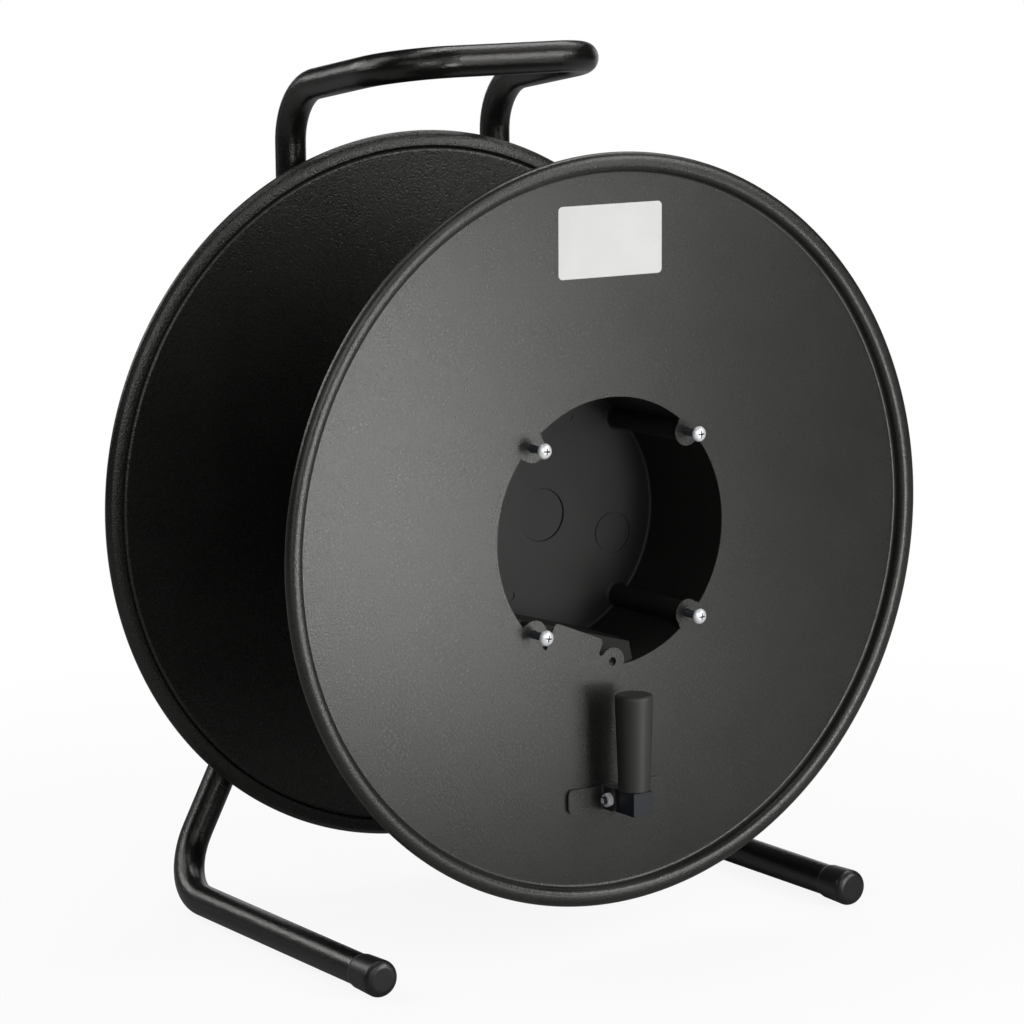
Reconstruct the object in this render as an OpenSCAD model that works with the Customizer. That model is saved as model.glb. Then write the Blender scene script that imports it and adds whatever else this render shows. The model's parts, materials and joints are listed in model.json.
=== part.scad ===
// Hand-carried cable reel: a sheet-steel drum that turns on an axle carried by a bent tube frame,
// with a folding crank on its front flange.  Millimetres, +Z up.
// The origin is on the floor, in the middle of the reel's outer box.
// The drum's axis runs along Y, and its open front faces -Y.

/* [Drum] */
// Outer diameter of the two flanges
flange_d = 485; // [400:1:560]
// Distance between the middles of the two rolled rims
drum_w = 231.1; // [190:0.1:280]
// Outer diameter of the core that the cable is wound on
core_d = 178; // [165:1:205]
// Thickness of the flange sheet
sheet = 1.2; // [1:0.1:1.6]
// Width of the rolled, wired rim, measured from its edge towards the axis
rim_w = 11.6; // [10:0.1:14]
// Height of the rolled rim, front to back
rim_h = 9.2; // [8:0.1:11]
// How far the flange's flat lies behind the middle of its rim
rim_offset = 3.1; // [2.5:0.05:4]
// Radius of the bend between the flat and the rim
fold_r = 1.6; // [1:0.1:2]
// Gap between that bend and the sheet's rolled-in edge
fold_gap = 0.4; // [0.2:0.1:0.8]
// Slope of the rim's flattened inner side
rim_slope = 11.6; // [0:0.1:15]

/* [Core] */
// Wall of the core
core_wall = 1.5; // [1:0.1:2.5]
// Lip by which the front flange covers the edge of the core
core_lip = 0.35; // [0.1:0.05:2]
// Depth of the connection space, from the flange's face to the back plate
space_depth = 80; // [60:0.5:100]
// Fillet where walls and pillars meet the back plate
plate_fillet = 2; // [1:0.5:3]
// Width of the groove around the knock-out in the back plate
groove_w = 0.7; // [0.3:0.1:1.2]
// Depth of that groove and of the moulding's round marks
groove_h = 0.6; // [0.2:0.1:1]
// Depth of the duct's flat top below the core's outside
duct_h = 22.4; // [17:0.1:28]
// Direction of the duct's flat top, seen from the front
duct_angle = -106.1; // [-115:0.1:-98]
// Distance of the duct's front edge behind the flange
duct_start = 12; // [6:0.5:20]
// Height of the duct's sloping front
duct_slope_h = 15.4; // [10:0.1:18]
// How far the duct's front reaches to the right
duct_reach = 47; // [40:0.5:52]
// Side of the square cable window in the core
window = 60; // [40:1:60]
// Direction of the middle of the cable window
window_angle = -106; // [-108:0.5:-100]
// Distance from the back plate to the cable window
window_back = 5; // [4:0.5:20]

/* [Connection opening] */
// Distance of the panel screws from the core's outside
screw_inset = 4.85; // [4:0.05:7]
// Radius of the tabs around the screws
tab_r = 9.2; // [8:0.1:10.5]
// Half-width of a tab's root
tab_root = 10.2; // [9:0.1:12]
// Distance of the straight guard edge inside the core's outside
guard_h = 22.7; // [17:0.1:28]
// Direction of the straight guard edge
guard_angle = -112.4; // [-118:0.1:-106]
// Length of the guard edge
guard_len = 40; // [30:1:46]
// Diameter of the panel screws
screw_d = 5; // [4:0.5:6]
// Diameter of their pan heads
screw_head_d = 10; // [8:0.5:11]
// Height of the pan heads
screw_head_h = 3.7; // [3:0.1:4.5]
// How far a screw head stands off the flange, ready to take a panel
screw_out = 12.4; // [2:0.1:16]
// Length of a panel screw below its head
screw_len = 35; // [25:1:50]
// Diameter of the screw pillars in the core
pillar_d = 14; // [11:0.5:16]

/* [Bearing] */
// Diameter of the axle
axle_d = 20; // [16:0.5:24]
// Outer diameter of the hub
hub_d = 41.2; // [36:0.1:50]
// Diameter of the cap that closes the hub
hub_cap_d = 34.6; // [31:0.1:35.5]
// How deep that cap lies in the back plate
hub_cap_in = 1.2; // [0:0.1:1.5]
// Radial running clearance of the drum on its axle
bearing_fit = 0.05; // [0.02:0.01:0.1]
// End play of the drum on its axle
end_play = 0.4; // [0.3:0.1:1]

/* [Frame] */
// Outer diameter of the frame tube
tube_d = 20.8; // [18:0.1:25]
// Wall of the frame tube
tube_wall = 2; // [1.5:0.1:3]
// Radius of every bend, to the middle of the tube
bend_r = 42; // [35:1:55]
// Distance between the uprights, middle to middle
upright_pitch = 163; // [140:1:190]
// Distance between the feet, middle to middle
foot_pitch = 369.2; // [300:0.1:420]
// Gap between the flanges and the floor
floor_gap = 29.9; // [15:0.1:60]
// Distance from the back rim's middle to the plane of the uprights
frame_gap = 27.95; // [24:0.05:45]
// Depth of the knee below the drum's axis
knee_drop = 65; // [40:1:100]
// Height of the upper corner above the flanges
shoulder_gap = 29.5; // [25:0.5:80]
// Length of the sloping arms of the handle
arm_len = 139.6; // [110:0.1:170]
// Slope of the handle's arms
arm_slope = 9.5; // [0:0.5:20]
// How far the feet reach past the front rim's middle
foot_reach = 11.5; // [0:0.1:30]

/* [End caps] */
// How far the tip of an end cap stands out from the tube
cap_wall = 1.65; // [1:0.05:3]
// Length of an end cap
cap_len = 25.5; // [20:0.5:60]
// Rounding of an end cap's tip
cap_round = 5; // [2:0.1:6]
// Thickness of an end cap's closed end
cap_end = 3; // [2:0.5:5]

/* [Crank] */
// Distance of the crank's folding pivot from the flange's edge
crank_inset = 71; // [40:0.5:100]
// Width and height of the crank block
block_w = 15.2; // [13:0.1:18]
// Length of the crank block past its pivot
block_len = 23.7; // [22:0.1:30]
// Distance from the pivot to the middle of the grip
grip_offset = 13.3; // [12.5:0.1:18]
// Length of the grip
grip_len = 62.5; // [50:0.5:90]
// Diameter of the grip where it meets the block
grip_d1 = 20.4; // [18:0.1:24]
// Diameter of the grip at its free end
grip_d2 = 24.7; // [20:0.1:28]
// Diameter of the stud that the grip turns on
stud_d = 8; // [6:0.5:10]
// Diameter of the pivot bolt
pivot_d = 5; // [4:0.5:6]
// Thickness of the bracket's plate
bracket_t = 2.5; // [2:0.1:3]
// Width of the bracket's plate
bracket_w = 73; // [50:1:90]
// Thickness of the bracket's lugs
lug_t = 2; // [1.5:0.1:3]
// How far the lugs stand off the plate
lug_h = 12.9; // [12:0.1:16]

/* [Hidden] */
$fn = 96;
eps = 0.01;
slip = 0.05;                                     // radial clearance of parts pushed together
flange_r = flange_d / 2;
core_r = core_d / 2;
axis_h = flange_r + floor_gap;                   // the drum's axis above the floor
duct_top = core_r - duct_h;                      // distances from the axis
guard_edge = core_r - guard_h;
screw_circle = core_r - screw_inset;
screw_at = screw_circle * sqrt(0.5);             // screws are at this distance from both middle planes
crank_r = flange_r - crank_inset;
bore_r = core_r - core_wall;
opening_r = bore_r - core_lip;
tube_r = tube_d / 2;

// The reel's outer box, front to back, from the middle of the front rim
grip_front = grip_axis_y() - grip_d2 / 2;
box_front = min(grip_front, pivot_y() - block_len, -foot_reach, -rim_h / 2);
box_back = drum_w + frame_gap + tube_r;
rim_y = -(box_front + box_back) / 2;             // middle of the front rim
face_y = rim_y + rim_offset;                     // front face of the front flange's flat
back_rim_y = rim_y + drum_w;
back_face_y = back_rim_y - rim_offset;           // rear face of the back flange's flat
plate_y = face_y + space_depth;                  // front face of the core's back plate
frame_y = back_rim_y + frame_gap;                // plane of the uprights
web_t = 3;                                       // cross member's sheet
web_y = frame_y - tube_r - web_t;                // its front face

// Bearing, front to back
hub_back_y = back_face_y + 1.5;
hub_seat_y = plate_y + 18;                       // shoulder that the washer keeps on the axle
washer_t = 3;
washer_y = hub_seat_y - end_play - washer_t;
nut_t = 8;
thread_d = 12;
cap_t = 2;

function pivot_y() = rim_offset - bracket_t - block_w / 2 - 0.25;   // from the rim's middle
function grip_axis_y() = pivot_y() - grip_offset;

// ---------- general helpers ----------

function unit(v) = v / norm(v);

// Places children, drawn in X and Y, upright in the XZ plane and extrudes them from y1 to y2
module slab(y1, y2) {
    translate([0, y2, 0])
        rotate([90, 0, 0])
            linear_extrude(y2 - y1)
                children();
}

// Turns a profile, drawn as radius and Y, about the Y axis
module lathe() {
    rotate([-90, 0, 0])
        rotate_extrude()
            children();
}

// Cylinder along Y
module rod_y(r, y1, y2) {
    translate([0, y1, 0])
        rotate([-90, 0, 0])
            cylinder(r = r, h = y2 - y1);
}

// Cylinder along X
module rod_x(r, x1, x2) {
    translate([x1, 0, 0])
        rotate([0, 90, 0])
            cylinder(r = r, h = x2 - x1);
}

// Everything on the drum and the axle is drawn about the drum's axis
module on_axis() {
    translate([0, 0, axis_h])
        children();
}

// ---------- bent tube ----------

// Unit vector that leaves point i of a path towards the next one
function heading(path, i) = unit(path[i + 1] - path[i]);
function turn(path, i) = acos(heading(path, i - 1) * heading(path, i));
function setback(path, i, r) = (i == 0 || i == len(path) - 1) ? 0 : r * tan(turn(path, i) / 2);

module straight(from, to, r) {
    d = unit(to - from);
    side = unit(abs(d.x) < 0.9 ? cross(d, [1, 0, 0]) : cross(d, [0, 1, 0]));
    up = cross(d, side);
    multmatrix([
        [side.x, up.x, d.x, from.x],
        [side.y, up.y, d.y, from.y],
        [side.z, up.z, d.z, from.z]
    ])
        cylinder(r = r, h = norm(to - from));
}

module bend(path, i, bend_radius, r) {
    before = heading(path, i - 1);
    after = heading(path, i);
    start = path[i] - before * setback(path, i, bend_radius);
    inward = unit(after - before * (after * before));
    centre = start + inward * bend_radius;
    out = -inward;
    axis = cross(out, before);
    multmatrix([
        [out.x, before.x, axis.x, centre.x],
        [out.y, before.y, axis.y, centre.y],
        [out.z, before.z, axis.z, centre.z]
    ])
        rotate_extrude(angle = turn(path, i))
            translate([bend_radius, 0])
                circle(r = r);
}

// Rod of radius r along a path of corners, each corner bent to the same radius.  The straight
// lengths are a hair thinner and reach into the bends, so that the pieces join cleanly.
module bent_rod(path, bend_radius, r) {
    thinner = 0.03;
    lap = 0.2;
    for (i = [0 : len(path) - 2])
        straight(
            path[i] + heading(path, i) * (setback(path, i, bend_radius) - (i == 0 ? 0 : lap)),
            path[i + 1] - heading(path, i) * (setback(path, i + 1, bend_radius) - (i == len(path) - 2 ? 0 : lap)),
            r - thinner
        );
    for (i = [1 : len(path) - 2])
        bend(path, i, bend_radius, r);
}

// ---------- frame ----------

foot_x = foot_pitch / 2;
upright_x = upright_pitch / 2;
cap_r = tube_r + cap_wall;
foot_z = cap_r;
shoulder_z = axis_h + flange_r + shoulder_gap;
foot_tip_y = rim_y - foot_reach;
tube_tip_y = foot_tip_y + cap_end;
grip_bar_y = frame_y - arm_len * cos(arm_slope);
grip_bar_z = shoulder_z + arm_len * sin(arm_slope);

// Corners of the left half of the tube, from the foot to the handle
half_path = [
    [-foot_x, tube_tip_y, foot_z],
    [-foot_x, frame_y, foot_z],
    [-upright_x, frame_y, axis_h - knee_drop],
    [-upright_x, frame_y, shoulder_z],
    [-upright_x, grip_bar_y, grip_bar_z]
];
function mirrored(half) = [for (i = [len(half) - 1 : -1 : 0]) [-half[i].x, half[i].y, half[i].z]];
frame_path = concat(half_path, mirrored(half_path));
bore_half = concat([half_path[0] - [0, 1, 0]], [for (i = [1 : 4]) half_path[i]]);
bore_path = concat(bore_half, mirrored(bore_half));

module frame_tube() {
    color([0.05, 0.05, 0.05])
        difference() {
            bent_rod(frame_path, bend_r, tube_r);
            bent_rod(bore_path, bend_r, tube_r - tube_wall);
        }
}

// Closed plastic sleeve on the end of a foot, a little wider at its tip
module end_cap(x) {
    rim_r1 = tube_r + 0.6;
    mouth_r = tube_r + 1;
    flare = 2;
    color([0.03, 0.03, 0.03])
        translate([x, foot_tip_y, foot_z])
            lathe()
                difference() {
                    union() {
                        polygon([
                            [0, cap_round], [cap_r, cap_round], [mouth_r, cap_len - flare],
                            [rim_r1, cap_len], [0, cap_len]
                        ]);
                        square([cap_r - cap_round, cap_round + eps]);
                        intersection() {
                            translate([cap_r - cap_round, cap_round])
                                circle(r = cap_round);
                            square([cap_r, cap_round]);
                        }
                    }
                    translate([0, cap_end])
                        square([tube_r + slip, cap_len]);
                }
}

module end_cap_left() {
    end_cap(-foot_x);
}

module end_cap_right() {
    end_cap(foot_x);
}

// Folded sheet welded across the front of the uprights, with the axle's boss
module cross_member() {
    web_h = 64;
    web_w = upright_pitch + tube_d;
    lip_w = upright_pitch - tube_d - 6;
    lip_d = 14;
    boss_r = 16;
    color([0.05, 0.05, 0.05])
        on_axis()
            difference() {
                union() {
                    slab(web_y, web_y + web_t)
                        square([web_w, web_h], center = true);
                    for (side = [-1, 1])
                        translate([0, web_y + lip_d / 2, side * (web_h - web_t) / 2])
                            cube([lip_w, lip_d, web_t], center = true);
                    rod_y(boss_r, hub_back_y + end_play, web_y + eps);
                }
                rod_y(axle_d / 2 + slip, hub_back_y, web_y + web_t + 1);
            }
}

module axle() {
    tail = 3;
    color([0.6, 0.6, 0.62])
        on_axis() {
            rod_y(axle_d / 2, washer_y + washer_t, web_y + web_t + tail);
            rod_y(thread_d / 2, washer_y - nut_t - 2, washer_y + washer_t + eps);
        }
}

module axle_washer() {
    washer_d = 30;
    color([0.7, 0.7, 0.72])
        on_axis()
            difference() {
                rod_y(washer_d / 2, washer_y, washer_y + washer_t);
                rod_y(thread_d / 2 + slip, washer_y - 1, washer_y + washer_t + 1);
            }
}

module axle_nut() {
    nut_d = 21.9;
    color([0.7, 0.7, 0.72])
        on_axis()
            difference() {
                slab(washer_y - nut_t, washer_y)
                    circle(d = nut_d, $fn = 6);
                rod_y(thread_d / 2 + slip, washer_y - nut_t - 1, washer_y + 1);
            }
}

// ---------- drum ----------

// Section of a flange as radius and distance behind its rim's middle: a flat that bends up to a
// rolled rim, whose inner side is flattened and ends in the sheet's rolled-in edge next to the bend.
// hole_r is the radius where the flat begins.
module flange_section(hole_r) {
    step = 0.04;                                 // keeps neighbouring curves from meeting tangentially
    half_w = rim_w / 2;
    half_h = rim_h / 2;
    rim_mid = flange_r - half_w;
    rim_in = flange_r - rim_w;
    fold_out = fold_r + sheet;
    fold_mid = rim_in - fold_r;
    fold_y = rim_offset - fold_r;
    edge_in = fold_mid + fold_out + fold_gap;
    edge_y = rim_offset + sheet + 0.6;
    turn_in = flange_r - 1.9;
    turn_y = edge_y - (turn_in - edge_in) * tan(rim_slope);
    translate([hole_r, rim_offset])
        square([fold_mid - hole_r + eps, sheet]);
    translate([fold_mid, fold_y])
        difference() {
            circle(r = fold_out);
            circle(r = fold_r);
            translate([-2 * fold_out, -2 * fold_out])
                square([2 * fold_out, 4 * fold_out]);
            translate([-1, -2 * fold_out])
                square([2 * fold_out, 2 * fold_out]);
        }
    translate([rim_mid, 0])
        scale([half_w / half_h, 1])
            circle(r = half_h);
    polygon([
        [rim_in + step, -step], [flange_r - step, -step], [flange_r - 0.08, 0.3 * turn_y],
        [flange_r - 0.6, 0.75 * turn_y], [turn_in, turn_y], [edge_in, edge_y],
        [edge_in, fold_y + eps], [rim_in + step, fold_y + eps]
    ]);
}

// Sheet of the front flange around a panel screw: a round tab with a wider root
module tab(x, z) {
    translate([x, z])
        circle(r = tab_r);
    rotate(atan2(z, x))
        translate([norm([x, z]), -tab_root])
            square([core_r, 2 * tab_root]);
}

// Straight-edged guard over the cable duct, seen from the front
module guard() {
    corner = 3;
    rotate(guard_angle)
        translate([guard_edge, -guard_len / 2]) {
            translate([corner, 0])
                square([core_r, guard_len]);
            translate([0, corner])
                square([core_r, guard_len - 2 * corner]);
            for (side = [corner, guard_len - corner])
                translate([corner, side])
                    circle(r = corner);
        }
}

module opening_outline() {
    difference() {
        circle(r = opening_r);
        for (x = [-1, 1], z = [-1, 1])
            tab(x * screw_at, z * screw_at);
        translate([0, -screw_circle])
            circle(r = tab_r);
        guard();
    }
}

module front_flange() {
    screw_hole_r = screw_d / 2 + 0.3;
    color([0.09, 0.09, 0.09])
        on_axis()
            difference() {
                translate([0, rim_y, 0])
                    lathe()
                        flange_section(0);
                slab(rim_y - 1, rim_y + rim_offset + sheet + 1)
                    opening_outline();
                for (x = [-1, 1], z = [-1, 1])
                    translate([x * screw_at, 0, z * screw_at])
                        rod_y(screw_hole_r, rim_y - 1, face_y + sheet + 1);
                translate([0, 0, -screw_circle])
                    rod_y(screw_hole_r, rim_y - 1, face_y + sheet + 1);
            }
}

module back_flange() {
    color([0.07, 0.07, 0.07])
        on_axis()
            translate([0, back_rim_y, 0])
                mirror([0, 1, 0])
                    lathe()
                        flange_section(hub_d / 2 + slip);
}

// Cross-section of a screw pillar: a round nose and a web out to the wall, a hair narrower
module pillar_outline(x, z) {
    web = pillar_d - 0.2;
    translate([x * screw_at, z * screw_at]) {
        circle(r = pillar_d / 2);
        rotate(atan2(z, x))
            translate([0, -web / 2])
                square([core_r, web]);
    }
}

// Places children in the duct's own frame: X away from the axis through its flat top, Z to the right
module at_duct() {
    rotate([0, -duct_angle, 0])
        children();
}

// Body of the cable duct, drawn inset by a wall: a flat top, a sloping front and a bevelled right end,
// with a mouth at the right between that end and the deeper part that runs right across
module duct_body(inset) {
    front_y = face_y + sheet;
    bevel = 5;
    deep_y = front_y + 40;
    slant = atan2(duct_start, duct_slope_h);
    below = 2 * core_r;
    intersection() {
        at_duct()
            translate([duct_top + inset, front_y - 1, -core_d])
                cube([core_r, plate_y - front_y + 1, 2 * core_d]);
        at_duct()
            translate([duct_top, front_y + duct_start, 0])
                rotate([0, 0, -slant])
                    translate([-below, inset, 0])
                        rotate([90, 0, 90])
                            linear_extrude(2 * below)
                                polygon([
                                    [0, -core_d], [core_d, -core_d],
                                    [core_d, duct_reach + inset], [bevel, duct_reach + inset],
                                    [0, duct_reach + inset - bevel]
                                ]);
    }
    at_duct()
        translate([duct_top + inset, deep_y + inset, -core_d])
            cube([core_r, plate_y - deep_y - inset, 2 * core_d]);
}

// Screw pillars and the inside of the core's wall, seen from the front
module space_outline() {
    difference() {
        circle(r = bore_r);
        for (x = [-1, 1], z = [-1, 1])
            pillar_outline(x, z);
    }
}

// Concave fillet in the corner between a wall, at X above 0, and the back plate, at Y above 0
module fillet_profile() {
    bite = 0.2;                                  // how far it reaches into wall and plate
    lip = 0.05;                                  // its thin edge, which joins more cleanly than a feather
    translate([-plate_fillet, -plate_fillet])
        difference() {
            square(plate_fillet + bite);
            circle(r = plate_fillet - lip);
        }
}

module plate_fillets() {
    chord = sqrt(pow(core_r - 0.5, 2) - pow(duct_top, 2));
    lathe()
        translate([bore_r, plate_y])
            fillet_profile();
    for (x = [-1, 1], z = [-1, 1])
        translate([x * screw_at, 0, z * screw_at])
            lathe()
                translate([pillar_d / 2, plate_y])
                    mirror([1, 0])
                        fillet_profile();
    at_duct()
        translate([0, 0, -chord])
            linear_extrude(2 * chord)
                translate([duct_top, plate_y])
                    fillet_profile();
}

// Groove around the round knock-out in the back plate
module knock_out_groove(x, z, d) {
    translate([x, 0, z])
        difference() {
            rod_y(d / 2, plate_y - 1, plate_y + groove_h);
            rod_y(d / 2 - groove_w, plate_y - 2, plate_y + groove_h + 1);
        }
}

// Hole for the hub's cap, with a small chamfer
module cap_seat() {
    r = hub_cap_d / 2;
    chamfer = 0.3;
    lathe()
        polygon([
            [0, plate_y - 1], [r + chamfer + 1, plate_y - 1], [r, plate_y + chamfer],
            [r, plate_y + core_wall + 1], [0, plate_y + core_wall + 1]
        ]);
}

// Core: barrel, back plate, screw pillars and the cable duct in one piece
module core() {
    front_y = face_y + sheet;
    back_y = back_face_y - sheet;
    back_plate_y = plate_y + core_wall;
    bore_depth = screw_len - screw_out + 6;
    window_y = plate_y - window_back - window;
    color([0.06, 0.06, 0.065])
        on_axis() {
            difference() {
                union() {
                    difference() {
                        rod_y(core_r, front_y, back_plate_y);
                        difference() {
                            slab(front_y - 1, plate_y)
                                space_outline();
                            difference() {
                                duct_body(0);
                                intersection() {
                                    duct_body(core_wall);
                                    slab(front_y + core_wall, plate_y)
                                        space_outline();
                                }
                            }
                        }
                    }
                    plate_fillets();
                }
                cap_seat();
                knock_out_groove(0.63 * core_r, -0.195 * core_r, 27.8);
                for (mark = [[0.25, 0.71], [-0.28, -0.57]])
                    translate([mark.x * core_r, 0, mark.y * core_r])
                        rod_y(3, plate_y - 1, plate_y + groove_h);
                for (x = [-1, 1], z = [-1, 1])
                    translate([x * screw_at, 0, z * screw_at])
                        rod_y(screw_d / 2 + slip, front_y - 1, front_y + bore_depth);
                rotate([0, -window_angle, 0])
                    translate([duct_top + core_wall + 3, window_y, -window / 2])
                        cube([core_r, window, window]);
            }
            lathe()
                translate([bore_r, back_plate_y - eps])
                    square([core_wall, back_y - back_plate_y + eps]);
        }
}

// Bearing tube between the back plate and the back flange, with a room for the axle's nut
module hub() {
    front_y = plate_y + core_wall;
    color([0.06, 0.06, 0.06])
        on_axis()
            difference() {
                rod_y(hub_d / 2, front_y, hub_back_y);
                rod_y(hub_cap_d / 2, front_y - 1, hub_seat_y);
                rod_y(axle_d / 2 + bearing_fit, front_y, hub_back_y + 1);
            }
}

// Disc that closes the hub, a little deeper than the back plate's face
module hub_cap() {
    color([0.06, 0.06, 0.065])
        on_axis()
            rod_y(hub_cap_d / 2 - slip, plate_y + hub_cap_in, plate_y + core_wall + cap_t);
}

// Pan-head screw, half driven in
module panel_screw(x, z) {
    dome_r = (pow(screw_head_d / 2, 2) + pow(screw_head_h, 2)) / (2 * screw_head_h);
    under_y = face_y - screw_out;
    color([0.8, 0.8, 0.82])
        on_axis()
            translate([x * screw_at, under_y, z * screw_at]) {
                rod_y(screw_d / 2, -eps, screw_len);
                intersection() {
                    translate([0, dome_r - screw_head_h, 0])
                        sphere(r = dome_r);
                    rod_y(screw_head_d / 2, -screw_head_h - 1, 0);
                }
            }
}

module screw_top_left() {
    panel_screw(-1, 1);
}

module screw_top_right() {
    panel_screw(1, 1);
}

module screw_bottom_left() {
    panel_screw(-1, -1);
}

module screw_bottom_right() {
    panel_screw(1, -1);
}

// ---------- crank ----------

// Everything on the crank is drawn about its folding pivot
module at_pivot() {
    translate([0, rim_y + pivot_y(), axis_h - crank_r])
        children();
}

lug_gap = 0.1;                                   // on each side of the block
lug_in = block_w / 2 + lug_gap;
lug_out = lug_in + lug_t;

module crank_bracket() {
    plate_back = rim_offset - pivot_y();
    plate_front = plate_back - bracket_t;
    height = block_w + 0.4;
    color([0.09, 0.09, 0.09])
        at_pivot()
            difference() {
                union() {
                    translate([-bracket_w / 2, plate_front, -height / 2])
                        cube([bracket_w, bracket_t, height]);
                    for (side = [-1, 1])
                        translate([side > 0 ? lug_in : -lug_out, plate_front - lug_h, -height / 2])
                            cube([lug_t, lug_h + eps, height]);
                }
                rod_x(pivot_d / 2 + slip, -lug_out - 1, lug_out + 1);
            }
}

module pivot_bolt() {
    head_d = 9.2;
    head_h = 3.5;
    tail = 6;
    color([0.8, 0.8, 0.82])
        at_pivot() {
            rod_x(pivot_d / 2, -lug_out - tail, lug_out + eps);
            translate([lug_out, 0, 0])
                rotate([0, 90, 0])
                    cylinder(d = head_d, h = head_h, $fn = 6);
        }
}

module pivot_nut() {
    nut_d = 9.2;
    thick = 4;
    color([0.8, 0.8, 0.82])
        at_pivot()
            difference() {
                translate([-lug_out - thick, 0, 0])
                    rotate([0, 90, 0])
                        cylinder(d = nut_d, h = thick, $fn = 6);
                rod_x(pivot_d / 2 + slip, -lug_out - thick - 1, -lug_out + 1);
            }
}

// Block that folds on the pivot, round at its lower back corner so that it can turn
module crank_block() {
    half = block_w / 2;
    color([0.05, 0.055, 0.075])
        at_pivot()
            difference() {
                union() {
                    translate([-half, -block_len, -half])
                        cube([block_w, block_len, block_w]);
                    rod_x(half, -half, half);
                    translate([-half, 0, 0])
                        cube([block_w, half, half]);
                }
                rod_x(pivot_d / 2 + bearing_fit, -half - 1, half + 1);
                translate([0, -grip_offset, -half + 3])
                    cylinder(d = stud_d + 2 * slip, h = block_w);
            }
}

stud_in_grip = grip_len - 12;                    // length of the stud above the block

module grip_stud() {
    half = block_w / 2;
    color([0.7, 0.7, 0.72])
        at_pivot()
            translate([0, -grip_offset, -half + 3])
                cylinder(d = stud_d, h = block_w - 3 + stud_in_grip);
}

// Tapered grip with a rounded free end, turning on the stud
module crank_grip() {
    gap = 0.3;
    edge = 2.5;
    r1 = grip_d1 / 2;
    r2 = grip_d2 / 2;
    color([0.07, 0.07, 0.068])
        at_pivot()
            translate([0, -grip_offset, block_w / 2 + gap])
                difference() {
                    rotate_extrude()
                        union() {
                            polygon([[0, 0], [r1, 0], [r2, grip_len - edge], [0, grip_len - edge]]);
                            translate([0, grip_len - edge - eps])
                                square([r2 - edge, edge + eps]);
                            intersection() {
                                translate([r2 - edge, grip_len - edge])
                                    circle(r = edge);
                                translate([0, grip_len - edge])
                                    square([r2, edge]);
                            }
                        }
                    translate([0, 0, -1])
                        cylinder(d = stud_d + 2 * bearing_fit, h = stud_in_grip + 2);
                }
}

frame_tube();
end_cap_left();
end_cap_right();
cross_member();
axle();
axle_washer();
axle_nut();
front_flange();
back_flange();
core();
hub();
hub_cap();
screw_top_left();
screw_top_right();
screw_bottom_left();
screw_bottom_right();
crank_bracket();
pivot_bolt();
pivot_nut();
crank_block();
grip_stud();
crank_grip();
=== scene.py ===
"""Looks of the cable reel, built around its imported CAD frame.

The scene is in metres, +Z up, with the drum's axis along Y and the front at -Y.
"""
import json
import math

import bmesh
import bpy
from mathutils import Matrix, Vector


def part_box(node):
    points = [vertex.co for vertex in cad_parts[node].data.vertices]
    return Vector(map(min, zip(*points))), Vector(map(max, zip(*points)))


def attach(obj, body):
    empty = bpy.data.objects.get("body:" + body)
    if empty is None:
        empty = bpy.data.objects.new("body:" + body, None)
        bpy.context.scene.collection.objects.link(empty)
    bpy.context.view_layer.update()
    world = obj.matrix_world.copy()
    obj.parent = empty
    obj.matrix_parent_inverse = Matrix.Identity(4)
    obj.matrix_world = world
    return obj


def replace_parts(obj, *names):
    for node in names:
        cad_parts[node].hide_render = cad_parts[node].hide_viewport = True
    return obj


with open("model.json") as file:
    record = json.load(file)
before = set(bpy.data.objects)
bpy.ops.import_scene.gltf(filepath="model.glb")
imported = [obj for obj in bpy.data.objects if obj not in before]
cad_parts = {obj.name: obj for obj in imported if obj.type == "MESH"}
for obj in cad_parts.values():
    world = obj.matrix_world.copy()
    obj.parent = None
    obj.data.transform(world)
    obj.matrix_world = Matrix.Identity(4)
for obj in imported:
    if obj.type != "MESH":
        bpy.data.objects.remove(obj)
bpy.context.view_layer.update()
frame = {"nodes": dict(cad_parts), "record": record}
nodes = frame["nodes"]
slot_of = {s["node"]: s["material_slot"] for s in frame["record"]["subparts"]}

MM = 0.001
# Points closer than this are one point, in mm
WELD = 0.0005
# A face whose normal has this much Y lies across the drum's axis
ACROSS_Y = 0.99999


# ---------- shader nodes ----------

def new_material(name):
    """A new material, its node tree and its Principled shader."""
    material = bpy.data.materials.new(name)
    material.use_nodes = True
    tree = material.node_tree
    shader = next(n for n in tree.nodes if n.type == "BSDF_PRINCIPLED")
    return material, tree, shader


def object_coords(tree, scale=(1, 1, 1)):
    """Object coordinates in millimetres, multiplied by scale."""
    coords = tree.nodes.new("ShaderNodeTexCoord")
    mapping = tree.nodes.new("ShaderNodeMapping")
    mapping.inputs["Scale"].default_value = [s / MM for s in scale]
    tree.links.new(coords.outputs["Object"], mapping.inputs["Vector"])
    return mapping.outputs["Vector"]


def noise(tree, vector, size, detail, roughness=0.5, distortion=0.0):
    """Noise whose features are about size millimetres across."""
    node = tree.nodes.new("ShaderNodeTexNoise")
    node.inputs["Scale"].default_value = 1 / size
    node.inputs["Detail"].default_value = detail
    node.inputs["Roughness"].default_value = roughness
    node.inputs["Distortion"].default_value = distortion
    tree.links.new(vector, node.inputs["Vector"])
    return node.outputs["Fac"]


def remap(tree, value, low, high, out_low=0.0, out_high=1.0):
    """Value, stretched from low..high to out_low..out_high and clamped there."""
    node = tree.nodes.new("ShaderNodeMapRange")
    node.inputs["From Min"].default_value = low
    node.inputs["From Max"].default_value = high
    node.inputs["To Min"].default_value = out_low
    node.inputs["To Max"].default_value = out_high
    tree.links.new(value, node.inputs["Value"])
    return node.outputs["Result"]


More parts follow.
